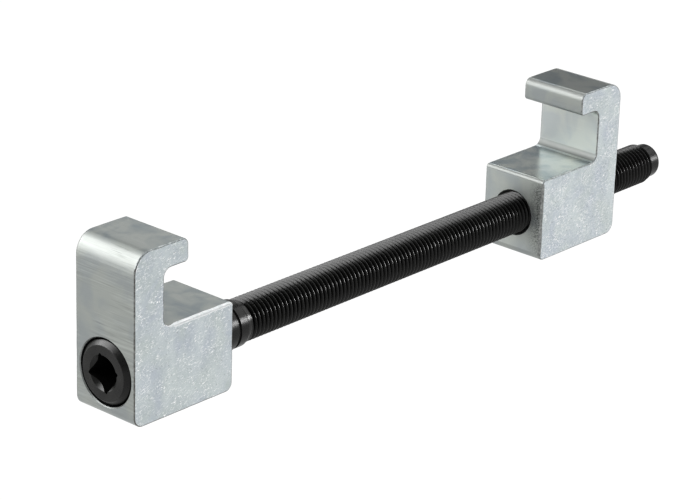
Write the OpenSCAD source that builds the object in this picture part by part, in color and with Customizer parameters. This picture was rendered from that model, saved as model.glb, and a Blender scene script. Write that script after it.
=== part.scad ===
// Ball joint separator: two C-shaped hook jaws on one screw spindle.
// The fixed jaw turns freely on the spindle's journal and the travelling jaw
// is threaded on it, so turning the head opens or closes the hooks.
// Frame: +X from the fixed jaw towards the travelling jaw, +Z up, and the
// origin on the base plane, mid-width, below the fixed jaw's inner hook face.

/* [Opening] */
// Distance between the inner hook faces, as it stands
jaw_opening = 293; // [110:1:330]

/* [Jaws] */
// Width of both jaws across the spindle
jaw_w = 35; // [34:0.5:50]
// Height from the base to the top of the lip
jaw_h = 78; // [76:0.5:100]
// Length of the block at the foot of a jaw
block_l = 58; // [52:0.5:80]
// Height of that block, which is the sill of the hook's mouth
block_h = 41; // [39:0.5:45]
// Thickness of the upright arm
arm_t = 17; // [14:0.5:24]
// How far the lip reaches beyond the arm
lip_l = 14; // [8:0.5:20]
// Thickness of the lip
lip_t = 10.8; // [8:0.1:16]
// Radius over the outer shoulder of the hook
shoulder_r = 9; // [4:0.5:12]
// Radius along the outer foot of the block
outer_foot_r = 5; // [1:0.5:6]
// Radius along the inner foot of the block
inner_foot_r = 3.5; // [1:0.1:6]
// Radius of the two corners inside the mouth
throat_r = 4; // [1:0.5:5]
// Radius over the tip of the lip
lip_top_r = 3.4; // [1:0.1:5]
// Radius under the tip of the lip
lip_under_r = 2; // [0.5:0.1:4]
// Radius of the sill's edge
sill_r = 1.8; // [0.5:0.1:4]

/* [Spindle] */
// Height of the spindle's axis above the base
axis_z = 20.5; // [20:0.1:22]
// Nominal thread diameter
thread_d = 20; // [18:1:20]
// Thread pitch
pitch = 2.5; // [1.5:0.5:2.5]
// Diameter of the journal that turns in the fixed jaw
journal_d = 22.2; // [21.9:0.1:23]
// Diameter of the collar between journal and thread
collar_d = 21.7; // [21:0.1:21.8]
// Diameter of the drive head
head_d = 29; // [27:0.5:29]
// How far the head stands out of the fixed jaw
head_proud = 1.2; // [0:0.1:4]
// Chamfer around the head's front
head_chamfer = 2.1; // [0.5:0.1:2.5]
// Diameter of the plain pilot at the far end
pilot_d = 17; // [12:0.5:17]
// Length of that pilot
pilot_l = 7.5; // [4:0.5:20]
// Overall distance from the fixed jaw's outer face to the pilot's end
spindle_reach = 377; // [360:1:420]

/* [Drive socket] */
// Width across the flats of the half-inch square
square_w = 12.85; // [12.8:0.01:13.05]
// Depth of the square
square_depth = 16; // [10:0.5:18]
// Diameter of the countersink at its mouth
square_mouth_d = 16.2; // [14:0.1:17]
// Turn of the square about the spindle's axis
square_turn = 32; // [0:1:89]

/* [Fixed jaw seat] */
// Diameter of the counterbore that takes the head
seat_d = 30.4; // [30:0.1:31]
// Depth of the counterbore
seat_depth = 11; // [9:0.5:14]
// Thickness of the hardened thrust washer on its floor
washer_t = 2; // [1:0.5:3]
// Radial running clearance of journal and thread
run_gap = 0.05; // [0.02:0.01:0.1]

/* [Retaining screw] */
// Distance from the fixed jaw's outer face to the screw
keeper_x = 36; // [24:1:48]
// Nominal diameter of the set screw
keeper_d = 6; // [5:1:6]
// Diameter of its dog point
keeper_dog_d = 4; // [3:0.5:4]
// Depth of the ring groove that the dog point runs in
keeper_groove = 2.1; // [1:0.1:2.5]

/* [Hidden] */

$fn = 96;
cut = 1;                                  // overshoot of every cutting tool
joint_gap = 0.02;                         // space between pieces that only touch
outer_x = -arm_t;                         // the fixed jaw's outer face
seat_x = outer_x + seat_depth;            // floor of its counterbore
inner_x = outer_x + block_l;              // its block's inner face
head_x = outer_x - head_proud;            // front of the head
head_back_x = seat_x - washer_t - joint_gap;
journal_r = journal_d / 2;
collar_r = collar_d / 2;
thread_r = thread_d / 2 - 0.03;           // crests of the spindle's thread
thread_depth = 0.541 * pitch;             // 60 degree flanks, cut flat at the root
flank = 5 / 16 * pitch;                   // length of one flank along the spindle
crest = pitch / 8;
relief_w = 1.8;                           // grinding relief beside the journal
relief_depth = 0.9;
journal_end_x = inner_x + 10.9;
collar_x = journal_end_x + relief_w;
thread_x = collar_x + 6.5;                 // first full thread
pilot_x = outer_x + spindle_reach - pilot_l;
tip_x = outer_x + spindle_reach;
turns = floor((pilot_x - thread_x - 2) / pitch);
pilot_r = pilot_d / 2;
tip_chamfer = 1.5;
lead_in = 1.2;                            // chamfer at both mouths of a jaw's bore
keeper_gap = 0.1;                         // play of the dog point in its groove
keeper_at = outer_x + keeper_x;
keeper_sunk = 0.8;                        // the set screw sits below the base
keeper_dog_l = 2.4;
keeper_hex_w = 3;                         // across the flats of its hexagon socket
keeper_hex_depth = 3;
square_cone_r = 6.5;                      // drilled pilot below the square
steel = [0.76, 0.79, 0.79];
black_oxide = [0.09, 0.09, 0.10];
dark_steel = [0.30, 0.31, 0.33];

// A cylinder along X on the spindle's axis, from x0 to x1
module along_x(r, x0, x1) {
    translate([x0, 0, axis_z]) rotate([0, 90, 0]) cylinder(r = r, h = x1 - x0);
}

// A cone along X on the spindle's axis, from r0 at x0 to r1 at x1
module cone_x(r0, r1, x0, x1) {
    translate([x0, 0, axis_z]) rotate([0, 90, 0]) cylinder(r1 = r0, r2 = r1, h = x1 - x0);
}

// The spandrel between a square corner at p and its radius; [sx, sz] points inwards
module spandrel(p, sx, sz, r) {
    translate(p) scale([sx, sz]) difference() {
        square(r);
        translate([r, r]) circle(r);
    }
}

// The outline of a jaw in X and Z, with its hook opening towards +X
module jaw_outline() {
    lip_x = lip_l;
    lip_z = jaw_h - lip_t;
    difference() {
        union() {
            polygon([
                [outer_x, 0], [inner_x, 0], [inner_x, block_h], [0, block_h],
                [0, lip_z], [lip_x, lip_z], [lip_x, jaw_h], [outer_x, jaw_h]
            ]);
            spandrel([0, block_h], 1, 1, throat_r);
            spandrel([0, lip_z], 1, -1, throat_r);
        }
        spandrel([outer_x, 0], 1, 1, outer_foot_r);
        spandrel([inner_x, 0], -1, 1, inner_foot_r);
        spandrel([inner_x, block_h], -1, -1, sill_r);
        spandrel([lip_x, lip_z], -1, 1, lip_under_r);
        spandrel([lip_x, jaw_h], -1, -1, lip_top_r);
        spandrel([outer_x, jaw_h], 1, -1, shoulder_r);
    }
}

// A jaw blank, sawn from the profile bar
module jaw_blank() {
    translate([0, jaw_w / 2, 0]) rotate([90, 0, 0]) linear_extrude(jaw_w) jaw_outline();
}

// The jaw at the drive end: bored for the journal, counterbored for the head
module fixed_jaw() {
    bore_r = journal_r + run_gap;
    color(steel) difference() {
        jaw_blank();
        along_x(seat_d / 2, outer_x - cut, seat_x);
        along_x(bore_r, seat_x - cut, inner_x + cut);
        cone_x(bore_r, bore_r + lead_in + cut, inner_x - lead_in, inner_x + cut);
        translate([keeper_at, 0, -cut]) cylinder(d = keeper_d, h = axis_z);
    }
}

// The jaw that runs on the thread, turned to face the fixed one
module travelling_jaw() {
    bore_r = thread_r + run_gap;
    far_x = inner_x + cut;
    color(steel) translate([jaw_opening, 0, 0]) mirror([1, 0, 0]) difference() {
        jaw_blank();
        along_x(bore_r, outer_x - cut, far_x);
        cone_x(bore_r, bore_r + lead_in + cut, inner_x - lead_in, far_x);
        cone_x(bore_r + lead_in + cut, bore_r, outer_x - cut, outer_x + lead_in);
    }
}

// Section of one turn of the thread from x, as [radius, x]
function thread_turn(x) = [
    [thread_r, x],
    [thread_r, x + crest],
    [thread_r - thread_depth, x + crest + flank],
    [thread_r - thread_depth, x + pitch - flank]
];

// Half section of the spindle as [radius, x]
function spindle_section() = concat(
    head_section(),
    [for (i = [0 : turns - 1]) each thread_turn(thread_x + i * pitch)],
    pilot_section()
);

// Head, journal with its ring groove, relief and collar
function head_section() = [
    [0, head_x],
    [head_d / 2 - head_chamfer, head_x],
    [head_d / 2, head_x + head_chamfer],
    [head_d / 2, head_back_x],
    [journal_r, head_back_x],
    [journal_r, keeper_at - keeper_dog_d / 2 - keeper_gap],
    [journal_r - keeper_groove, keeper_at - keeper_dog_d / 2 - keeper_gap],
    [journal_r - keeper_groove, keeper_at + keeper_dog_d / 2 + keeper_gap],
    [journal_r, keeper_at + keeper_dog_d / 2 + keeper_gap],
    [journal_r, journal_end_x],
    [journal_r - relief_depth, journal_end_x],
    [journal_r - relief_depth, collar_x],
    [collar_r, collar_x],
    [collar_r, thread_x - 2],
    [thread_r, thread_x - 1]
];

// Chamfered end of the thread and the plain pilot
function pilot_section() = [
    [thread_r, pilot_x - (thread_r - pilot_r)],
    [pilot_r, pilot_x],
    [pilot_r, tip_x - tip_chamfer],
    [pilot_r - tip_chamfer, tip_x],
    [0, tip_x]
];

// The half-inch square, its countersunk mouth and the drilled pilot below it
module drive_socket() {
    mouth_r = square_mouth_d / 2;
    countersink = mouth_r - square_w / 2;
    translate([head_x, 0, axis_z]) rotate([square_turn, 0, 0])
        translate([-cut, -square_w / 2, -square_w / 2]) cube([square_depth + cut, square_w, square_w]);
    cone_x(mouth_r + cut, square_w / 2, head_x - cut, head_x + countersink);
    cone_x(square_cone_r, 0, head_x + square_depth - 0.01, head_x + square_depth + 3.5);
}

// One turned piece: drive head, journal, collar, thread and pilot
module spindle() {
    color(black_oxide) difference() {
        translate([0, 0, axis_z]) rotate([0, 90, 0])
            rotate_extrude() polygon(spindle_section());
        drive_socket();
    }
}

// Hardened ring between the head and the floor of the counterbore
module thrust_washer() {
    color(dark_steel) difference() {
        along_x(seat_d / 2 - 0.2, seat_x - washer_t, seat_x);
        along_x(journal_r + 0.2, seat_x - washer_t - cut, seat_x + cut);
    }
}

// Set screw from below, whose dog point keeps the spindle in the fixed jaw
module retaining_screw() {
    top_z = axis_z - (journal_r - keeper_groove) - keeper_gap;
    shank_r = keeper_d / 2 - joint_gap;
    color(dark_steel) translate([keeper_at, 0, 0]) difference() {
        union() {
            translate([0, 0, keeper_sunk]) cylinder(r = shank_r, h = top_z - keeper_dog_l - keeper_sunk);
            translate([0, 0, keeper_sunk]) cylinder(d = keeper_dog_d, h = top_z - keeper_sunk);
        }
        translate([0, 0, -cut])
            cylinder(d = keeper_hex_w / cos(30), h = keeper_sunk + keeper_hex_depth + cut, $fn = 6);
    }
}

fixed_jaw();
travelling_jaw();
spindle();
thrust_washer();
retaining_screw();
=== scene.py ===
"""Looks for the ball joint separator: two plated hook jaws on a black oxide screw spindle."""
import math

import bmesh
import bpy
from mathutils import Matrix, Vector, noise


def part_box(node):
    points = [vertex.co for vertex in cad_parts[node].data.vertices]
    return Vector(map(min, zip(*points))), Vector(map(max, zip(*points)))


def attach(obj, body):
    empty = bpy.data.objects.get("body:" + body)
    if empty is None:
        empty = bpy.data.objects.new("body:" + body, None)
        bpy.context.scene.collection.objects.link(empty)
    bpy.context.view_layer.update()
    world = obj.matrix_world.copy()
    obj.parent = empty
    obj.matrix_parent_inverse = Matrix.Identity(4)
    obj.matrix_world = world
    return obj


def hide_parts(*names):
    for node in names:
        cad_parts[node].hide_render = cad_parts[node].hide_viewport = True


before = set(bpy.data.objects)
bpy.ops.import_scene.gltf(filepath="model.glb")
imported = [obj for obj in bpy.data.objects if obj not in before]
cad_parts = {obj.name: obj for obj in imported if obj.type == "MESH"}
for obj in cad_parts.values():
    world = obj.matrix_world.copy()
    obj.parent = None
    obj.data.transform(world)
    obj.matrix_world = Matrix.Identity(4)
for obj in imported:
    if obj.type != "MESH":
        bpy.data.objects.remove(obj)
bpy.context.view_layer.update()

# ---------------------------------------------------------------------------
# Sizes in millimetres, in the frame's own axes. Meshes are made in millimetres
# and scaled to metres at the end, which keeps the solid cuts well conditioned.
# ---------------------------------------------------------------------------
MM = 0.001
JAW_LO, JAW_HI = (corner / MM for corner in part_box("fixed_jaw"))
SPINDLE_LO, SPINDLE_HI = (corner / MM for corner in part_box("spindle"))
OUTER_X = JAW_LO.x                        # outer face of the fixed jaw
INNER_X = JAW_HI.x                        # inner face of its block
JAW_W = JAW_HI.y - JAW_LO.y
JAW_H = JAW_HI.z - JAW_LO.z
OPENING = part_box("travelling_jaw")[1].x / MM + OUTER_X
AXIS_Z = (SPINDLE_LO.z + SPINDLE_HI.z) / 2
HEAD_X = SPINDLE_LO.x
TIP_X = SPINDLE_HI.x

BLOCK_H = 41.0
LIP_L = 14.0
LIP_T = 10.8
SHOULDER_R = 9.0
OUTER_FOOT_R = 5.0
INNER_FOOT_R = 3.5
THROAT_R = 4.0
LIP_TOP_R = 3.4
LIP_UNDER_R = 2.0
SILL_R = 1.8
EDGE_R = 0.5                              # broken edge around the sawn sides
CORNER_EDGE_R = 1.2                       # heavier, down the near corner of the travelling jaw's block
SILL_EDGE_R = 1.3                         # heavier, along the near side of the fixed jaw's sill
EDGE_STEPS = 6                            # steps across a broken edge
EDGE_UNEVEN = 0.35                        # share by which a broken edge's radius wanders
EDGE_WANDER = 0.21                        # noise cells of that wander to a millimetre
OUTLINE_STEP = 1.6                        # longest step along a jaw's outline

PITCH = 2.5
THREAD_R = 9.97
THREAD_DEPTH = 0.541 * PITCH
CORE_R = THREAD_R - THREAD_DEPTH - 0.15
NUT_GAP = 0.2                             # how much larger the jaw's thread is cut
NUT_TURNS = 30                            # enough to pass right through the jaw
THREAD_OVERRUN = 3                        # turns made beyond a thread's ends, then cut away
JOURNAL_R = 11.1
JOURNAL_END_X = INNER_X + 10.9
RELIEF_W = 1.8
RELIEF_DEPTH = 0.9
COLLAR_R = 10.85
COLLAR_L = 6.5
THREAD_X = JOURNAL_END_X + RELIEF_W + COLLAR_L
HEAD_R = 14.5
HEAD_CHAMFER = 2.1
PILOT_R = 8.5
PILOT_X = TIP_X - 7.5
SEAT_R = 15.2
SEAT_X = OUTER_X + 11.0                   # floor of the counterbore
SEAT_CHAMFER = 0.5                        # chamfer at the counterbore's mouth
WASHER_T = 2.0
WASHER_GAP = 0.2                          # clearance round the washer, outside and inside
TOUCH_GAP = 0.02                          # space between pieces that only touch
BORE_R = JOURNAL_R + 0.05
LEAD_IN = 1.2                             # chamfer at the mouths of a jaw's bore
SQUARE_W = 12.85
SQUARE_DEPTH = 16.0
SQUARE_TURN = 32.0                        # degrees about the spindle's axis
SQUARE_CORNER_R = 0.4
SQUARE_CONE_L = 3.5                       # drilled cone below the square
MOUTH_R = 8.1                             # countersink round the square
KEEPER_X = OUTER_X + 36.0                 # the retaining screw stands here, below the journal
KEEPER_R = 3.0
KEEPER_DOG_R = 2.0
KEEPER_DOG_L = 2.4
KEEPER_GROOVE = 2.1
KEEPER_PLAY = 0.1                         # play of the dog point in its groove
KEEPER_SUNK = 0.8                         # the set screw sits above the foot by this
KEEPER_PITCH = 1.0
KEEPER_THREAD_DEPTH = 0.45
KEEPER_HEX_R = 1.73
KEEPER_HEX_L = 3.0
KEEPER_SIDES = 48

CAMERA_AZIMUTH = -48.608                  # degrees, where 0 looks along +Y
CAMERA_ELEVATION = 21.743
CAMERA_ROLL = 1.778
CAMERA_AIM = (110.44, -21.28, 46.32)
CAMERA_DISTANCE = 1262.3
CAMERA_LENS = 147.89
CAMERA_SENSOR = 36.0
CAMERA_NEAR = 0.05                        # metres, the nearest and the farthest thing that it sees
CAMERA_FAR = 20

FLOOR_R = 8.0                             # metres, the flat part of the floor
FLOOR_RIM = 1.2                           # metres, the radius its rim curves up with
FLOOR_RIM_STEPS = 8
FLOOR_GLOW = 0.72                         # how brightly the floor shines by itself
ROUND = 96                                # sides of a turned surface
THREAD_SIDES = 72                         # steps in one turn of the thread
ARC_STEP = 9                              # degrees in one step of a rounded corner
JAW_SHARP = 32                            # degrees at which an edge between faces stays hard
SPINDLE_SHARP = 28
HIDDEN_SHARP = 30
MERGE_GAP = 0.002                         # points closer than this become one
SLIVER = 0.001                            # edges shorter than this are dissolved
# One pitch of the thread: place along the pitch, and depth as a share of the full depth
THREAD_FORM = [
    (0.000, 0.07), (0.022, 0.0), (0.103, 0.0), (0.125, 0.07),
    (0.415, 0.93), (0.455, 1.0), (0.670, 1.0), (0.710, 0.93),
]


# ---------------------------------------------------------------------------
# Mesh helpers
# ---------------------------------------------------------------------------
def round_corners(corners, closed):
    """A path from (a, b, radius) corners: each corner with a radius becomes an arc."""
    path = []
    count = len(corners)
    for i, (a, b, radius) in enumerate(corners):
        here = Vector((a, b))
        if radius == 0 or (not closed and i in (0, count - 1)):
            path.append(here)
            continue
        to_last = (Vector(corners[i - 1][:2]) - here).normalized()
        to_next = (Vector(corners[(i + 1) % count][:2]) - here).normalized()
        opening = to_last.angle(to_next)
        centre = here + (to_last + to_next).normalized() * (radius / math.sin(opening / 2))
        start = here + to_last * (radius / math.tan(opening / 2)) - centre
        end = here + to_next * (radius / math.tan(opening / 2)) - centre
        turn = math.copysign(math.pi - opening, start.cross(end))
        steps = max(2, round(math.degrees(abs(turn)) / ARC_STEP))
        for step in range(steps + 1):
            angle = turn * step / steps
            path.append(centre + Matrix.Rotation(angle, 2) @ start)
    return path


def to_object(name, mesh_points, faces):
    """An object with a mesh of these points and faces, its faces turned outwards."""
    mesh = bpy.data.meshes.new(name)
    mesh.from_pydata([tuple(p) for p in mesh_points], [], faces)
    obj = bpy.data.objects.new(name, mesh)
    bpy.context.scene.collection.objects.link(obj)
    bm = bmesh.new()
    bm.from_mesh(mesh)
    bmesh.ops.recalc_face_normals(bm, faces=bm.faces)
    bm.to_mesh(mesh)
    bm.free()
    return obj


def turned(name, section, sides=ROUND):
    """A closed solid turned on the spindle's axis, from (x, radius) points that start and end at radius 0."""
    points, rings = [], []
    for x, radius in section:
        if radius < 1e-6:
            rings.append([len(points)])
            points.append((x, 0, AXIS_Z))
            continue
        rings.append(list(range(len(points), len(points) + sides)))
        for side in range(sides):
            angle = 2 * math.pi * side / sides
            points.append((x, radius * math.cos(angle), AXIS_Z + radius * math.sin(angle)))
    faces = []
    for ring, after in zip(rings, rings[1:]):
        for side in range(sides):
            nxt = (side + 1) % sides
            near = [ring[side % len(ring)], ring[nxt % len(ring)]]
            far = [after[nxt % len(after)], after[side % len(after)]]
            face = list(dict.fromkeys(near + far))
            if len(face) > 2:
                faces.append(face)
    return to_object(name, points, faces)


def helix(name, x0, turns, extra=0.0, fade_from=None):
    """A closed right-hand screw solid from x0, its radius larger by extra.
    It cuts in over one turn after fade_from."""
    sides, form = THREAD_SIDES, THREAD_FORM
    width, last = len(form), turns * sides
    points = []
    for j in range(last + sides + 1):
        angle = 2 * math.pi * j / sides
        x_turn = x0 + PITCH * j / sides
        for u, depth in form if j <= last else form[:1]:
            x = x_turn + PITCH * u
            cut_in = 1.0 if fade_from is None else min(1.0, max(0.0, (x - fade_from) / PITCH))
            cut_in = cut_in * cut_in * (3 - 2 * cut_in)
            radius = THREAD_R + extra - THREAD_DEPTH * depth * cut_in
            points.append((x, radius * math.cos(angle), AXIS_Z + radius * math.sin(angle)))

    def index(j, k):
        """The number of the form's point k at step j. Past the last step it has only its first point."""
        if k == width:
            j, k = j + sides, 0
        return j * width + k if j <= last else (last + 1) * width + (j - last - 1)

    faces = []
    for j in range(last):
        for k in range(width):
            faces.append([index(j, k), index(j + 1, k), index(j + 1, k + 1), index(j, k + 1)])
    first_edge = [index(j, 0) for j in range(sides + 1)] + [index(0, k) for k in range(width - 1, 0, -1)]
    last_edge = [index(last, k) for k in range(width)] + [index(last + j, 0) for j in range(sides, 0, -1)]
    for edge, x in ((first_edge, x0 + PITCH / 2), (last_edge, x0 + PITCH * (turns + 0.5))):
        centre = len(points)
        points.append((x, 0, AXIS_Z))
        for a, b in zip(edge, edge[1:] + edge[:1]):
            faces.append([centre, a, b])
    return to_object(name, points, faces)


def combine(obj, other, operation):
    """Joins, cuts or intersects obj with other, which is used up."""
    modifier = obj.modifiers.new("solid", "BOOLEAN")
    modifier.operation = operation
    modifier.object = other
    modifier.solver = "MANIFOLD"
    depsgraph = bpy.context.evaluated_depsgraph_get()
    result = bpy.data.meshes.new_from_object(obj.evaluated_get(depsgraph))
    obj.modifiers.clear()
    old, obj.data = obj.data, result
    bpy.data.meshes.remove(old)
    bpy.data.objects.remove(other)
    return obj


def settle(obj, sharp_degrees):
    """Scales a finished solid to metres, clears slivers and sets its shading."""
    mesh = obj.data
    bm = bmesh.new()
    bm.from_mesh(mesh)
    bmesh.ops.remove_doubles(bm, verts=bm.verts, dist=MERGE_GAP)
    bmesh.ops.dissolve_degenerate(bm, edges=bm.edges, dist=SLIVER)
    bmesh.ops.scale(bm, vec=(MM, MM, MM), verts=bm.verts)
    bm.to_mesh(mesh)
    bm.free()
    mesh.materials.clear()
    mesh.shade_smooth()
    mesh.set_sharp_from_angle(angle=math.radians(sharp_degrees))
    weighted = obj.modifiers.new("flat faces stay flat", "WEIGHTED_NORMAL")
    weighted.keep_sharp = True
    weighted.weight = 80
    return obj


# ---------------------------------------------------------------------------
# Jaws
# ---------------------------------------------------------------------------
def jaw_outline():
    """The fixed jaw's side view, from its outer foot round the block, mouth and lip to its shoulder."""
    lip_z = JAW_H - LIP_T
    return round_corners([
        (OUTER_X, 0, OUTER_FOOT_R), (INNER_X, 0, INNER_FOOT_R), (INNER_X, BLOCK_H, SILL_R),
        (0, BLOCK_H, THROAT_R), (0, lip_z, THROAT_R), (LIP_L, lip_z, LIP_UNDER_R),
        (LIP_L, JAW_H, LIP_TOP_R), (OUTER_X, JAW_H, SHOULDER_R),
    ], closed=True)


def subdivided(path, step):
    """The same closed path with no gap between points longer than step."""
    finer = []
    for a, b in zip(path, path[1:] + path[:1]):
        pieces = max(1, math.ceil((b - a).length / step))
        finer += [a.lerp(b, i / pieces) for i in range(pieces)]
    return finer


def edge_radius(point, side, sill_edge, corner_edge):
    """The broken edge's radius at a point of the outline.
    On the near side the sill and the block's corner have their own, reached over 2 to 4 mm."""
    if side > 0:
        return EDGE_R
    if THROAT_R < point.x < INNER_X and BLOCK_H - SILL_R < point.y < BLOCK_H + THROAT_R:
        along = min(1, (point.x - THROAT_R) / 3, (INNER_X - point.x) / 2)
        return EDGE_R + (sill_edge - EDGE_R) * along
    if point.x > INNER_X - 0.5 and point.y < BLOCK_H:
        along = min(1, point.y / INNER_FOOT_R, (BLOCK_H - point.y) / 3)
        return EDGE_R + (corner_edge - EDGE_R) * along
    return EDGE_R


def jaw_blank(name, seed, sill_edge, corner_edge):
    """The sawn blank: the outline across the jaw's width, with broken edges of uneven size."""
    path = subdivided(jaw_outline(), OUTLINE_STEP)
    count = len(path)
    outward = []
    for i in range(count):
        along = (path[(i + 1) % count] - path[i - 1]).normalized()
        outward.append(Vector((along.y, -along.x)))
    rings = []
    for side in (-1, 1):
        levels = range(EDGE_STEPS, -1, -1) if side < 0 else range(EDGE_STEPS + 1)
        for level in levels:
            angle = math.radians(90 * level / EDGE_STEPS)
            ring = []
            for point, out in zip(path, outward):
                spot = Vector((point.x * EDGE_WANDER, point.y * EDGE_WANDER, seed + side))
                uneven = 1 + EDGE_UNEVEN * noise.noise(spot)
                radius = edge_radius(point, side, sill_edge, corner_edge) * uneven
                inset = point - out * radius * (1 - math.cos(angle))
                y = side * (JAW_W / 2 - radius * (1 - math.sin(angle)))
                ring.append((inset.x, y, inset.y))
            rings.append(ring)
    points = [p for ring in rings for p in ring]
    faces = []
    for r in range(len(rings) - 1):
        for i in range(count):
            j = (i + 1) % count
            faces.append([r * count + i, r * count + j, (r + 1) * count + j, (r + 1) * count + i])
    faces.append(list(range(count)))
    faces.append(list(range((len(rings) - 1) * count, len(rings) * count))[::-1])
    return to_object(name, points, faces)


def mirror_into_place(obj):
    """Turns a blank made like the fixed jaw into the travelling one."""
    obj.data.transform(Matrix.Translation((OPENING, 0, 0)) @ Matrix.Scale(-1, 4, (1, 0, 0)))
    obj.data.flip_normals()
    return obj


def fixed_jaw():
    """The blank with its counterbore, the journal's bore and the set screw's hole."""
    jaw = jaw_blank("fixed_jaw_body", 3.1, SILL_EDGE_R, EDGE_R)
    cutter = turned("bore", round_corners([
        (OUTER_X - 2, 0, 0), (OUTER_X - 2, SEAT_R + SEAT_CHAMFER + 2, 0),
        (OUTER_X + SEAT_CHAMFER, SEAT_R, 0.2), (SEAT_X, SEAT_R, 0.6),
        (SEAT_X, BORE_R + 0.4, 0), (SEAT_X + 0.4, BORE_R, 0),
        (INNER_X - LEAD_IN, BORE_R, 0), (INNER_X + 1, BORE_R + LEAD_IN + 1, 0),
        (INNER_X + 1, 0, 0),
    ], closed=False))
    combine(jaw, cutter, "DIFFERENCE")
    hole = turned("screw_hole", [
        (-2, 0), (-2, KEEPER_R + 2.6), (0.6, KEEPER_R), (AXIS_Z, KEEPER_R), (AXIS_Z, 0),
    ], KEEPER_SIDES)
    stand_up(hole)
    return settle(combine(jaw, hole, "DIFFERENCE"), JAW_SHARP)


def stand_up(obj):
    """Stands a piece made along the spindle's axis below it at the retaining screw, x becoming height."""
    to_origin = Matrix.Translation((0, 0, -AXIS_Z))
    upright = Matrix.Rotation(math.radians(-90), 4, "Y")
    obj.data.transform(Matrix.Translation((KEEPER_X, 0, 0)) @ upright @ to_origin)


def travelling_jaw():
    """The mirrored blank with a cone at each mouth of its bore, threaded in step with the spindle."""
    jaw = mirror_into_place(jaw_blank("travelling_jaw_body", 8.7, EDGE_R, CORNER_EDGE_R))
    near_x, far_x = OPENING - INNER_X, OPENING - OUTER_X
    first_turn = PITCH * round((near_x - THREAD_X) / PITCH) + THREAD_X
    cutter = helix("nut_thread", first_turn - THREAD_OVERRUN * PITCH, NUT_TURNS, extra=NUT_GAP)
    combine(jaw, cutter, "DIFFERENCE")
    mouth_r = THREAD_R + NUT_GAP + LEAD_IN
    for x, out in ((near_x, -1), (far_x, 1)):
        cone = turned("mouth", [
            (x + out * 2, 0), (x + out * 2, mouth_r + 2), (x - out * 3, mouth_r - 3), (x - out * 3, 0),
        ])
        combine(jaw, cone, "DIFFERENCE")
    return settle(jaw, JAW_SHARP)


# ---------------------------------------------------------------------------
# Spindle
# ---------------------------------------------------------------------------
def spindle_body():
    """The turned blank: head, journal with its two grooves, collar, core of the thread and pilot."""
    head_back = SEAT_X - WASHER_T - TOUCH_GAP
    groove_lo, groove_hi = (KEEPER_X + side * (KEEPER_DOG_R + KEEPER_PLAY) for side in (-1, 1))
    groove_r = JOURNAL_R - KEEPER_GROOVE
    relief_r = JOURNAL_R - RELIEF_DEPTH
    return turned("spindle_body", round_corners([
        (HEAD_X, 0, 0), (HEAD_X, HEAD_R - HEAD_CHAMFER, 0.35), (HEAD_X + HEAD_CHAMFER, HEAD_R, 0.5),
        (head_back, HEAD_R, 0.3), (head_back, JOURNAL_R, 0.3),
        (groove_lo, JOURNAL_R, 0.1), (groove_lo, groove_r, 0.2),
        (groove_hi, groove_r, 0.2), (groove_hi, JOURNAL_R, 0.1),
        (JOURNAL_END_X, JOURNAL_R, 0.25), (JOURNAL_END_X + 0.1, relief_r, 0.2),
        (JOURNAL_END_X + RELIEF_W - 0.1, relief_r, 0.2), (JOURNAL_END_X + RELIEF_W, COLLAR_R, 0.25),
        (THREAD_X - 2, COLLAR_R, 0.4), (THREAD_X - 1, THREAD_R, 0), (THREAD_X - 0.9, CORE_R, 0),
        (PILOT_X - 0.3, CORE_R, 0), (PILOT_X - 0.2, PILOT_R, 0),
        (TIP_X, PILOT_R, 2.0), (TIP_X, 0, 0),
    ], closed=False))


def spindle_thread():
    """The screw, cut to length with a chamfer at the pilot."""
    turns = int((PILOT_X - THREAD_X) / PITCH) + 2 * THREAD_OVERRUN
    screw = helix("thread", THREAD_X - THREAD_OVERRUN * PITCH, turns, fade_from=THREAD_X)
    blank_r = THREAD_R + 0.03
    envelope = turned("thread_blank", [
        (THREAD_X - 1.1, 0), (THREAD_X - 1.1, blank_r), (PILOT_X - (THREAD_R - PILOT_R), blank_r),
        (PILOT_X, PILOT_R - 0.05), (PILOT_X, 0),
    ], THREAD_SIDES * 2)
    return combine(screw, envelope, "INTERSECT")


def spindle():
    """The blank with its thread, and the drive square with a countersunk mouth."""
    body = spindle_body()
    combine(body, spindle_thread(), "UNION")
    combine(body, square_cutter(), "DIFFERENCE")
    mouth = turned("mouth", [
        (HEAD_X - 1, 0), (HEAD_X - 1, MOUTH_R + 1), (HEAD_X + MOUTH_R - SQUARE_W / 2, SQUARE_W / 2),
        (HEAD_X + SQUARE_DEPTH, SQUARE_W / 2 - 0.02), (HEAD_X + SQUARE_DEPTH + SQUARE_CONE_L, 0),
    ])
    combine(body, mouth, "DIFFERENCE")
    return settle(body, SPINDLE_SHARP)


def square_cutter():
    """The broached square, a little rounded in its corners."""
    half = SQUARE_W / 2
    corners = [(-half, -half), (half, -half), (half, half), (-half, half)]
    path = round_corners([(a, b, SQUARE_CORNER_R) for a, b in corners], closed=True)
    turn = Matrix.Rotation(math.radians(SQUARE_TURN), 2)
    ends = (HEAD_X - 1, HEAD_X + SQUARE_DEPTH)
    points = [(x, p.x, AXIS_Z + p.y) for x in ends for p in (turn @ q for q in path)]
    count = len(path)
    faces = [[i, (i + 1) % count, count + (i + 1) % count, count + i] for i in range(count)]
    faces.append(list(range(count))[::-1])
    faces.append(list(range(count, 2 * count)))
    return to_object("square", points, faces)


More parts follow.
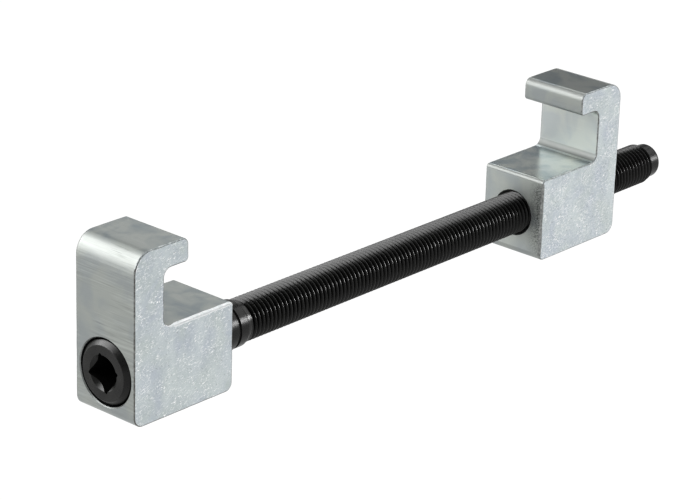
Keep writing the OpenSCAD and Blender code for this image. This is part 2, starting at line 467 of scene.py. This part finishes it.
# ---------------------------------------------------------------------------
# Hidden pieces
# ---------------------------------------------------------------------------
def thrust_washer():
    """The hardened ring on the floor of the counterbore, its edges broken."""
    front, outer_r, inner_r = SEAT_X - WASHER_T, SEAT_R - WASHER_GAP, JOURNAL_R + WASHER_GAP
    ring = turned("thrust_washer_body", round_corners([
        (front, 0, 0), (front, outer_r, 0.3), (SEAT_X, outer_r, 0.3), (SEAT_X, 0, 0),
    ], closed=False))
    hole = turned("hole", [
        (front - 1, 0), (front - 1, inner_r + 1.3), (front + 0.3, inner_r),
        (SEAT_X - 0.3, inner_r), (SEAT_X + 1, inner_r + 1.3), (SEAT_X + 1, 0),
    ])
    return settle(combine(ring, hole, "DIFFERENCE"), HIDDEN_SHARP)


def retaining_screw():
    """The set screw under the fixed jaw: hexagon socket, ringed shank and dog point."""
    top_z = AXIS_Z - (JOURNAL_R - KEEPER_GROOVE) - KEEPER_PLAY
    low, shoulder, shank_r = KEEPER_SUNK, top_z - KEEPER_DOG_L, KEEPER_R - TOUCH_GAP
    root_r = shank_r - KEEPER_THREAD_DEPTH
    section = [(low, 0), (low, shank_r - 0.5), (low + 0.5, shank_r)]
    z = low + 0.9
    while z + KEEPER_PITCH < shoulder - 0.5:
        section += [(z, shank_r), (z + 0.4, root_r), (z + 0.5, root_r), (z + 0.9, shank_r)]
        z += KEEPER_PITCH
    section += [(shoulder - 0.5, shank_r), (shoulder, KEEPER_DOG_R), (top_z - 0.3, KEEPER_DOG_R)]
    section += [(top_z, KEEPER_DOG_R - 0.3), (top_z, 0)]
    screw = turned("retaining_screw_body", section, KEEPER_SIDES)
    hexagon = turned("hexagon", [
        (low - 1, 0), (low - 1, KEEPER_HEX_R), (low + KEEPER_HEX_L, KEEPER_HEX_R),
        (low + KEEPER_HEX_L + 0.5, 0),
    ], 6)
    combine(screw, hexagon, "DIFFERENCE")
    stand_up(screw)
    return settle(screw, HIDDEN_SHARP)


# ---------------------------------------------------------------------------
# Materials
# ---------------------------------------------------------------------------
class Nodes:
    """A short way to write a material's node tree."""

    def __init__(self, name):
        self.material = bpy.data.materials.new(name)
        self.material.use_nodes = True
        self.tree = self.material.node_tree
        self.shader = self.tree.nodes["Principled BSDF"]
        self.place = self.add("ShaderNodeTexCoord").outputs["Object"]

    def add(self, kind, **settings):
        """A new node of this kind, with these settings."""
        node = self.tree.nodes.new(kind)
        for key, value in settings.items():
            setattr(node, key, value)
        return node

    def put(self, value, socket):
        """Links a socket to another one, or gives it a plain value."""
        if isinstance(value, bpy.types.NodeSocket):
            self.tree.links.new(value, socket)
        else:
            socket.default_value = value

    def coords(self, sx, sy, sz):
        """The place on the object, with this many noise cells to a millimetre along each axis."""
        node = self.add("ShaderNodeMapping")
        self.put(self.place, node.inputs["Vector"])
        node.inputs["Scale"].default_value = (sx / MM, sy / MM, sz / MM)
        return node.outputs["Vector"]

    def split(self, vector):
        """The x, y and z of a vector."""
        node = self.add("ShaderNodeSeparateXYZ")
        self.put(vector, node.inputs[0])
        return node.outputs

    def noise(self, vector, scale=1.0, detail=2.0, rough=0.5, distortion=0.0):
        node = self.add("ShaderNodeTexNoise")
        self.put(vector, node.inputs["Vector"])
        node.inputs["Scale"].default_value = scale
        node.inputs["Detail"].default_value = detail
        node.inputs["Roughness"].default_value = rough
        node.inputs["Distortion"].default_value = distortion
        return node.outputs["Fac"]

    def span(self, value, from_lo, from_hi, to_lo, to_hi):
        """Carries a value from one span to another, held at its ends."""
        node = self.add("ShaderNodeMapRange")
        self.put(value, node.inputs["Value"])
        node.inputs["From Min"].default_value = from_lo
        node.inputs["From Max"].default_value = from_hi
        node.inputs["To Min"].default_value = to_lo
        node.inputs["To Max"].default_value = to_hi
        return node.outputs["Result"]

    def math(self, operation, a, b):
        node = self.add("ShaderNodeMath", operation=operation)
        self.put(a, node.inputs[0])
        self.put(b, node.inputs[1])
        return node.outputs[0]

    def times(self, a, b):
        return self.math("MULTIPLY", a, b)

    def plus(self, a, b):
        return self.math("ADD", a, b)

    def mix(self, factor, a, b):
        """Colour a where the factor is 0 and colour b where it is 1."""
        node = self.add("ShaderNodeMix", data_type="RGBA")
        self.put(factor, node.inputs[0])
        self.put(a, node.inputs[6])
        self.put(b, node.inputs[7])
        return node.outputs[2]

    def bump(self, height, strength, distance_mm):
        node = self.add("ShaderNodeBump")
        self.put(height, node.inputs["Height"])
        node.inputs["Strength"].default_value = strength
        node.inputs["Distance"].default_value = distance_mm * MM
        return node.outputs["Normal"]

    def finish(self, **values):
        """Sets the shader's inputs, each by its name with underscores for spaces."""
        for key, value in values.items():
            self.put(value, self.shader.inputs[key.replace("_", " ")])
        return self.material

    def flecks(self, degrees, along, across, threshold, seed):
        """Short scratches on a sawn side: noise stretched along a line at an angle in the side's plane."""
        rotated = self.add("ShaderNodeVectorRotate", rotation_type="Y_AXIS")
        self.put(self.place, rotated.inputs["Vector"])
        rotated.inputs["Angle"].default_value = math.radians(degrees)
        node = self.add("ShaderNodeMapping")
        self.put(rotated.outputs["Vector"], node.inputs["Vector"])
        node.inputs["Scale"].default_value = (along / MM, 0.4 / MM, across / MM)
        node.inputs["Location"].default_value = (seed, seed * 2, seed * 3)
        grain = self.noise(node.outputs["Vector"], 1.0, 2, 0.5, 0.3)
        return self.span(grain, threshold, threshold + 0.05, 0, 1)


def shade(tint, red, green, blue):
    """A colour from a surface's tint and how much of it each channel has."""
    return (tint * red, tint * green, tint * blue, 1)


def zinc_sawn(name, tint, fleck_threshold):
    """Plated saw-cut side: pale, clouded blue and green, with short bright scratches and a fine spangle.
    A higher threshold leaves fewer flecks."""
    n = Nodes(name)
    blue = shade(tint, 0.855, 0.925, 1.0)
    green = shade(tint, 0.90, 0.98, 0.975)
    pale = shade(tint, 1.08, 1.16, 1.165)
    white = shade(tint, 1.20, 1.26, 1.28)
    dull = shade(tint, 0.62, 0.68, 0.72)
    flat = n.coords(1, 1, 1)
    cloud = n.noise(flat, 0.055, 3, 0.55, 0.6)
    second = n.noise(n.coords(0.08, 0.08, 0.05), 1.0, 2, 0.5, 0.4)
    mottle = n.noise(flat, 0.55, 4, 0.6)
    spangle = n.noise(flat, 1.5, 3, 0.65, 0.5)
    color = n.mix(n.span(cloud, 0.38, 0.62, 0, 1), blue, green)
    color = n.mix(n.span(second, 0.42, 0.66, 0, 0.6), color, pale)
    color = n.mix(n.span(mottle, 0.35, 0.65, 0, 0.22), color, white)
    color = n.mix(n.span(mottle, 0.30, 0.40, 0.25, 0), color, dull)
    rising = n.flecks(24, 0.42, 1.9, fleck_threshold, 3.0)
    steep = n.flecks(62, 0.5, 2.2, fleck_threshold + 0.012, 11.0)
    level = n.flecks(4, 0.35, 2.0, fleck_threshold + 0.015, 23.0)
    dots = n.span(spangle, fleck_threshold + 0.01, fleck_threshold + 0.05, 0, 1)
    marks = n.math("MAXIMUM", n.math("MAXIMUM", rising, steep), n.math("MAXIMUM", level, dots))
    crowd = n.span(n.noise(flat, 0.11, 2, 0.5), 0.38, 0.62, 0.35, 1.0)
    color = n.mix(n.times(marks, crowd), color, (1.0, 1.0, 1.0, 1))
    scuff = n.flecks(-35, 0.5, 2.6, fleck_threshold + 0.03, 41.0)
    color = n.mix(n.times(scuff, 0.5), color, (0.22, 0.23, 0.24, 1))
    rough = n.span(mottle, 0.3, 0.7, 0.38, 0.52)
    height = n.plus(n.times(mottle, 0.5), n.times(marks, 0.25))
    return n.finish(Base_Color=color, Metallic=0.9, Roughness=rough, Normal=n.bump(height, 0.35, 0.10))


def scuffs_and_shade(n):
    """How strongly the near edge of the travelling jaw's inner face is darkened, from 0 to 1: partly rubbed
    scuffs, partly painted shade where the spindle's dark reflection and shade fall.
    """
    _, across, height = n.split(n.place)
    near_edge = n.span(across, -9 * MM, -15 * MM, 0, 1)
    above_foot = n.span(height, 3 * MM, 16 * MM, 0.45, 1)
    below_sill = n.span(height, 34 * MM, 40 * MM, 1, 0.3)
    rub = n.noise(n.coords(0.9, 1.1, 2.6), 1.0, 4, 0.6, 0.3)
    return n.times(n.span(rub, 0.44, 0.57, 0, 0.80), n.times(n.times(near_edge, above_foot), below_sill))


def zinc_drawn(name, tint, rough, streaks, painted_highlight=1.0, scuffed_and_shaded=False):
    """Plated drawn face: slightly green grey with bluish clouds, and streaks along the drawing direction.
    Faces that look up carry painted shade, darker and bluer, and curved parts carry a painted highlight,
    paler.
    rough holds the roughness of its upright, curved and level parts.
    Its highlight factor is how much paler the painted highlight makes its curved parts."""
    n = Nodes(name)
    facing_z = n.split(n.add("ShaderNodeTexCoord").outputs["Normal"])[2]
    upright = n.span(facing_z, 0.03, 0.15, 1, 0)
    level = n.span(facing_z, 0.93, 0.99, 0, 1)
    painted_highlight_mask = n.times(n.span(facing_z, 0.0, 0.6, 0, 1), n.span(facing_z, 0.80, 0.97, 1, 0))
    patches = n.noise(n.coords(0.10, 0.05, 0.10), 1.0, 2, 0.5)
    streak = n.noise(n.coords(1.5, 0.05, 1.5), 1.0, 3, 0.6)
    cloud = n.noise(n.coords(1, 1, 1), 0.075, 3, 0.5, 0.5)
    # Painted shade: faces that look up are coloured darker and bluer than upright ones.
    low = n.mix(level, shade(tint, 0.93, 0.985, 0.985), shade(tint, 0.76, 0.84, 0.86))
    color = n.mix(n.span(cloud, 0.38, 0.58, 0, 1), low, shade(tint, 1.03, 1.075, 1.03))
    # Painted highlight: curved parts are coloured paler by the highlight factor.
    color = n.mix(painted_highlight_mask, color, shade(tint * painted_highlight, 1.0, 1.03, 1.0))
    shown = n.times(n.span(patches, 0.40, 0.62, 0.10, 1), n.span(level, 0, 1, streaks, streaks * 0.3))
    pale_streak = n.times(n.span(streak, 0.50, 0.66, 0, 1), shown)
    dark_streak = n.times(n.span(streak, 0.34, 0.46, 0.8, 0), shown)
    color = n.mix(pale_streak, color, shade(tint, 1.32, 1.38, 1.32))
    color = n.mix(dark_streak, color, shade(tint, 0.72, 0.75, 0.72))
    if scuffed_and_shaded:
        # Dark band by the near edge of the inner face: part scuffs, part painted shade from the spindle's
        # reflection and shade.
        color = n.mix(scuffs_and_shade(n), color, (0.07, 0.075, 0.075, 1))
    upright_rough, curved_rough, level_rough = rough
    matt = n.plus(n.times(upright, upright_rough - curved_rough), n.times(level, level_rough - curved_rough))
    uneven = n.times(n.span(streak, 0.3, 0.7, -0.02, 0.04), n.span(level, 0, 1, 1, 0.2))
    matt = n.plus(n.plus(matt, curved_rough), uneven)
    return n.finish(Base_Color=color, Metallic=0.92, Roughness=matt,
                    Normal=n.bump(streak, 0.08 * streaks, 0.05))


def zinc_edge(name, dull, bright, matt):
    """Plating along a broken edge, thin and rubbed in places. The colours it is given paint light and shade
    on the edge: a painted highlight, paler painted light or darker painted shade, by where the edge lies and
    faces.
    """
    n = Nodes(name)
    rub = n.noise(n.coords(1, 1, 1), 0.8, 4, 0.6)
    color = n.mix(n.span(rub, 0.42, 0.66, 0, 1), dull, bright)
    rough = n.span(rub, 0.3, 0.7, matt + 0.07, matt - 0.07)
    return n.finish(Base_Color=color, Metallic=0.85, Roughness=rough, Normal=n.bump(rub, 0.4, 0.08))


def zinc_turned():
    """Plated bore, counterbore or countersink with faint tool rings."""
    n = Nodes("zinc_turned")
    rings = n.noise(n.coords(6, 0.2, 0.2), 1.0, 2, 0.5)
    color = n.mix(n.span(rings, 0.4, 0.6, 0, 1), (0.28, 0.29, 0.285, 1), (0.38, 0.395, 0.385, 1))
    return n.finish(Base_Color=color, Metallic=0.95, Roughness=0.45, Normal=n.bump(rings, 0.3, 0.05))


def from_spindle_axis(n):
    """The distance of a place from the spindle's axis, in metres."""
    _, across, height = n.split(n.place)
    up = n.math("SUBTRACT", height, AXIS_Z * MM)
    return n.math("SQRT", n.plus(n.times(across, across), n.times(up, up)), 0)


def black_oxide(name, base, worn, gloss, rough, grain, crest_r=None):
    """Oiled black oxide on a turned surface, burnished in places and, on a thread, paler along its crests and
    less glossy in its roots.
    """
    n = Nodes(name)
    cloud = n.noise(n.coords(1, 1, 1), 0.12, 3, 0.5)
    mottle = n.noise(n.coords(1, 1, 1), 1.6, 4, 0.6)
    turning = n.noise(n.coords(7, 0.15, 0.15), 1.0, 2, 0.5)
    color = n.mix(n.span(cloud, 0.35, 0.65, 0, 1), shade(base, 1, 1, 0.96), shade(base, 1.8, 1.8, 1.7))
    color = n.mix(n.span(mottle, 0.58, 0.72, 0, 0.5), color, shade(worn, 1, 1, 0.97))
    if crest_r is not None:
        from_axis = from_spindle_axis(n)
        crest = n.span(from_axis, (crest_r - 0.35) * MM, crest_r * MM, 0, 1)
        root = n.span(from_axis, (crest_r - THREAD_DEPTH) * MM, (crest_r - 0.6) * MM, 1, 0)
        color = n.mix(n.times(crest, 0.8), color, shade(worn, 2, 2, 1.95))
        gloss = n.span(root, 0, 1, gloss, gloss * 0.3)
    height = n.plus(n.times(turning, 0.6), n.times(mottle, 0.4))
    return n.finish(Base_Color=color, Metallic=0.0, Roughness=n.span(mottle, 0.3, 0.7, rough, rough + 0.12),
                    Specular_IOR_Level=gloss, Normal=n.bump(height, grain, 0.04))


def tempered_steel():
    """Dark hardened steel of the washer and the set screw."""
    n = Nodes("tempered_steel")
    mottle = n.noise(n.coords(1, 1, 1), 1.2, 4, 0.6)
    dark, light = (0.10, 0.105, 0.115, 1), (0.20, 0.205, 0.215, 1)
    color = n.mix(n.span(mottle, 0.35, 0.65, 0, 1), dark, light)
    return n.finish(Base_Color=color, Metallic=0.95, Roughness=n.span(mottle, 0.3, 0.7, 0.28, 0.42),
                    Normal=n.bump(mottle, 0.3, 0.05))


# ---------------------------------------------------------------------------
# Which face has which surface
# ---------------------------------------------------------------------------
# The three edge surfaces are painted light: a painted highlight along the fixed jaw's sill, paler painted
# light where an edge faces up, and darker painted shade on the rest.
(SAWN, DRAWN, SILL, THROAT, ARM, INNER, TURNED, EDGE_PAINTED_HIGHLIGHT, EDGE_PAINTED_LIGHT, EDGE_PAINTED_SHADE) = range(10)
(THREAD, HEAD, GROUND) = range(3)
ON_PLANE = 0.01                           # a face this near to a plane lies in it


def paint_spindle(obj):
    """Gives the head, the ground journal, collar and pilot, and the thread their own surfaces."""
    for face in obj.data.polygons:
        x = face.center.x / MM
        if x < SEAT_X - WASHER_T:
            face.material_index = HEAD
        elif x < THREAD_X - 1 or x > PILOT_X:
            face.material_index = GROUND
        else:
            face.material_index = THREAD


def edge_surface(place, normal, low_x, high_x, painted_sill_highlight):
    """The surface of a broken edge, which paints light and shade on it.
    On the near side it takes the painted highlight along the sill when asked, and paler painted light where
    it faces up. Elsewhere it takes darker painted shade."""
    x, y, z = place
    by_sill = BLOCK_H - SILL_EDGE_R * 1.5 < z < BLOCK_H + 1 and low_x < x < high_x
    if painted_sill_highlight and by_sill and y < 0:
        return EDGE_PAINTED_HIGHLIGHT
    return EDGE_PAINTED_LIGHT if normal.z > 0.3 and y < 0 else EDGE_PAINTED_SHADE


def mouth_surface(normal, sill, throat, arm):
    """The surface of a face in the hook's mouth, by how far it faces up."""
    if normal.z > 0.9:
        return sill
    return throat if normal.z > 0.1 else arm


def paint_jaw(obj, near_x, arm_x, surfaces, painted_sill_highlight=False):
    """Gives each face of a jaw its surface. surfaces are those of its sill, throat, arm and inner face.
    near_x and arm_x are the inner faces of its block and of its arm."""
    sill, throat, arm, inner = surfaces
    low_x, high_x = min(near_x, arm_x), max(near_x, arm_x)
    for face in obj.data.polygons:
        x, y, z = place = face.center / MM
        normal = face.normal
        from_axis = math.hypot(y, z - AXIS_Z)
        # A bore's walls face its axis, and its thread and chamfers lie close to it
        radial = abs(normal.y * y + normal.z * (z - AXIS_Z)) / max(from_axis, 1e-6)
        in_bore = radial > 0.15 or from_axis < THREAD_R + LEAD_IN + 0.3
        if abs(normal.y) > 0.995 and abs(abs(y) - JAW_W / 2) < ON_PLANE:
            surface = SAWN
        elif abs(x - near_x) < ON_PLANE:
            surface = inner
        elif from_axis < SEAT_R + 1.0 and in_bore:
            surface = TURNED
        elif abs(y) > JAW_W / 2 - SILL_EDGE_R * 1.4 and abs(normal.y) > 0.04:
            surface = edge_surface(place, normal, low_x, high_x, painted_sill_highlight)
        elif low_x - 0.1 < x < high_x + 0.1 and BLOCK_H - 0.1 < z < JAW_H - LIP_T - 1:
            surface = mouth_surface(normal, sill, throat, arm)
        else:
            surface = DRAWN
        face.material_index = surface


# ---------------------------------------------------------------------------
# Pieces
# ---------------------------------------------------------------------------
zinc_shared = [
    # The travelling jaw's sill, throat, arm and inner face are copies of one drawn zinc with their own tints,
    # which paint light and shade: the sill painted bright as a reflection, the throat, arm and inner face
    # each set to the brightness their light gives them.
    zinc_drawn("zinc_sill", 0.65, (0.45, 0.50, 0.26), 0.2),
    zinc_drawn("zinc_throat", 0.42, (0.58, 0.60, 0.40), 0.1),
    zinc_drawn("zinc_arm", 0.515, (0.48, 0.55, 0.40), 0.12),
    zinc_drawn("zinc_inner", 0.455, (0.56, 0.55, 0.40), 0.12, scuffed_and_shaded=True),
    zinc_turned(),
    # Painted highlight for the fixed sill's near edge, and paler painted light for edges that face up.
    zinc_edge("zinc_edge_painted_highlight", (0.88, 0.91, 0.91, 1), (1.0, 1.0, 1.0, 1), 0.55),
    zinc_edge("zinc_edge_painted_light", (0.38, 0.41, 0.41, 1), (0.68, 0.71, 0.71, 1), 0.42),
]


def zinc(sawn, drawn, edge_upright):
    """A jaw's ten surfaces, in the order that SAWN to EDGE_PAINTED_SHADE number them."""
    return [sawn, drawn] + zinc_shared + [edge_upright]


zinc_fixed = zinc(
    zinc_sawn("zinc_sawn_fixed", 0.608, 0.618),
    # A strong highlight factor paints a bright highlight on the fixed jaw's shoulder.
    zinc_drawn("zinc_drawn_fixed", 0.365, (0.38, 0.66, 0.36), 0.6, painted_highlight=1.78),
    # Darker painted shade for the upright and far edges.
    zinc_edge("zinc_edge_painted_shade_fixed", (0.15, 0.15, 0.145, 1), (0.30, 0.31, 0.30, 1), 0.42))
zinc_travelling = zinc(
    zinc_sawn("zinc_sawn_travelling", 0.645, 0.600),
    # A milder highlight factor paints the highlight on the travelling jaw's lip tip and sill edge.
    zinc_drawn("zinc_drawn_travelling", 0.352, (0.46, 0.50, 0.30), 0.25, painted_highlight=1.25),
    # Darker painted shade for the upright and far edges.
    zinc_edge("zinc_edge_painted_shade_travelling", (0.26, 0.27, 0.265, 1), (0.42, 0.43, 0.42, 1), 0.50))
oxide = [
    black_oxide("black_oxide_thread", 0.009, 0.020, 0.40, 0.18, 0.25, crest_r=THREAD_R),
    black_oxide("black_oxide_head", 0.011, 0.016, 0.45, 0.25, 0.10),
    black_oxide("black_oxide_ground", 0.010, 0.020, 0.42, 0.22, 0.02),
]
tempered = [tempered_steel()]

# How each piece is made, the CAD node that it replaces, its body, its slot and its surfaces
PIECES = [
    (fixed_jaw, "fixed_jaw", "frame", "zinc_plated_steel", zinc_fixed),
    (travelling_jaw, "travelling_jaw", "slider", "zinc_plated_steel", zinc_travelling),
    (spindle, "spindle", "screw", "black_oxide_steel", oxide),
    (thrust_washer, "thrust_washer", "frame", "hardened_steel", tempered),
    (retaining_screw, "retaining_screw", "frame", "hardened_steel", tempered),
]
pieces = {}
for make, node, body, slot, surfaces in PIECES:
    piece = pieces[node] = make()
    for surface in surfaces:
        piece.data.materials.append(surface)
    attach(piece, body)
    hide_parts(node)
# The fixed jaw's near sill edge takes the painted highlight.
paint_jaw(pieces["fixed_jaw"], INNER_X, 0, (DRAWN, DRAWN, DRAWN, DRAWN), painted_sill_highlight=True)
paint_jaw(pieces["travelling_jaw"], OPENING - INNER_X, OPENING, (SILL, THROAT, ARM, INNER))
paint_spindle(pieces["spindle"])


# ---------------------------------------------------------------------------
# Floor, light and camera
# ---------------------------------------------------------------------------
def floor():
    """A pale round floor whose far rim curves up, so that low views end on it too."""
    profile = [(0, 0), (FLOOR_R, 0)]
    for step in range(1, FLOOR_RIM_STEPS + 1):
        angle = math.radians(90 * step / FLOOR_RIM_STEPS)
        profile.append((FLOOR_R + FLOOR_RIM * math.sin(angle), FLOOR_RIM * (1 - math.cos(angle))))
    points, faces = [], []
    for radius, z in profile:
        for side in range(ROUND):
            angle = 2 * math.pi * side / ROUND
            points.append((radius * math.cos(angle), radius * math.sin(angle), z))
    for ring in range(1, len(profile) - 1):
        for side in range(ROUND):
            here, after = ring * ROUND + side, ring * ROUND + (side + 1) % ROUND
            faces.append([here, after, after + ROUND, here + ROUND])
    faces.append(list(range(ROUND, 2 * ROUND)))
    mesh = bpy.data.meshes.new("floor")
    mesh.from_pydata(points, [], faces)
    mesh.shade_smooth()
    obj = bpy.data.objects.new("floor", mesh)
    bpy.context.scene.collection.objects.link(obj)
    n = Nodes("pale_floor")
    mesh.materials.append(n.finish(Base_Color=(0.12, 0.12, 0.12, 1), Roughness=0.9, Specular_IOR_Level=0.1,
                                   Emission_Color=(1, 1, 1, 1), Emission_Strength=FLOOR_GLOW))


def softbox(name, centre, faces, along, size, radiance, only=None):
    """A rectangular soft light of even brightness that faces the direction faces, its first side lying along.
    Sizes are in metres. It lights everything, or only one piece."""
    light = bpy.data.lights.new(name, "AREA")
    light.shape = "RECTANGLE"
    light.size, light.size_y = size
    light.energy = radiance * math.pi * size[0] * size[1]
    obj = bpy.data.objects.new(name, light)
    bpy.context.scene.collection.objects.link(obj)
    back = -Vector(faces).normalized()
    right = Vector(along)
    right = (right - back * right.dot(back)).normalized()
    obj.matrix_world = standing(centre, right, back.cross(right), back)
    if only is not None:
        reach = bpy.data.collections.new(name + "_reach")
        reach.objects.link(only)
        obj.light_linking.receiver_collection = reach


def standing(place, right, up, back):
    """The matrix that puts a light or camera at a place with these three directions."""
    return Matrix.Translation(place) @ Matrix((right, up, back)).transposed().to_4x4()


def studio(dark_piece):
    """Broad soft lights for everything, and two more that bring out the dark spindle's thread."""
    world = bpy.data.worlds.new("studio")
    world.use_nodes = True
    background = world.node_tree.nodes["Background"]
    background.inputs["Color"].default_value = (0.96, 0.98, 1.0, 1)
    background.inputs["Strength"].default_value = 0.20
    bpy.context.scene.world = world
    softbox("overhead_right", (0.882, 0.299, 0.612), (-0.226, -0.722, -0.654), (0.884, -0.431, 0.174),
            (0.73, 0.30), 1.0)
    softbox("overhead", (0.15, 0, 1.3), (0, 0, -1), (1, 0, 0), (0.9, 0.9), 0.7)
    softbox("back_left", (-0.42, 0.44, 0.42), (0.56, -0.64, -0.45), (0.64, 0.56, 0), (1.0, 0.75), 1.6)
    softbox("back", (0.25, 0.80, 0.60), (0, -1, -0.3), (1, 0, 0), (1.5, 0.8), 0.50)
    softbox("front_top", (1.05, -0.38, 0.98), (-0.697, 0.25, -0.65), (0, 1, 0), (0.9, 0.9), 1.3)
    softbox("rim", (-0.35, 0.37, 0.36), (0.56, -0.64, -0.45), (0.64, 0.56, 0), (0.56, 0.44), 3.7, dark_piece)
    softbox("key", (1.97, -1.67, 0.74), (-0.70, 0.64, -0.28), (0.68, 0.70, 0), (0.60, 0.70), 18, dark_piece)


def camera():
    """The camera, placed and aimed by the values at the top."""
    azimuth, elevation, roll = (math.radians(v) for v in (CAMERA_AZIMUTH, CAMERA_ELEVATION, CAMERA_ROLL))
    reach = math.cos(elevation)
    right = Vector((math.cos(azimuth), math.sin(azimuth), 0))
    back = Vector((math.sin(azimuth) * reach, -math.cos(azimuth) * reach, math.sin(elevation)))
    up = back.cross(right)
    data = bpy.data.cameras.new("camera")
    data.lens, data.sensor_width = CAMERA_LENS, CAMERA_SENSOR
    data.clip_start, data.clip_end = CAMERA_NEAR, CAMERA_FAR
    obj = bpy.data.objects.new("camera", data)
    bpy.context.scene.collection.objects.link(obj)
    rolled_right = right * math.cos(roll) + up * math.sin(roll)
    rolled_up = up * math.cos(roll) - right * math.sin(roll)
    place = Vector(CAMERA_AIM) * MM + back * (CAMERA_DISTANCE * MM)
    obj.matrix_world = standing(place, rolled_right, rolled_up, back)
    bpy.context.scene.camera = obj


floor()
studio(pieces["spindle"])
camera()
bpy.context.scene.view_settings.view_transform = "Standard"
bpy.context.scene.view_settings.look = "High Contrast"
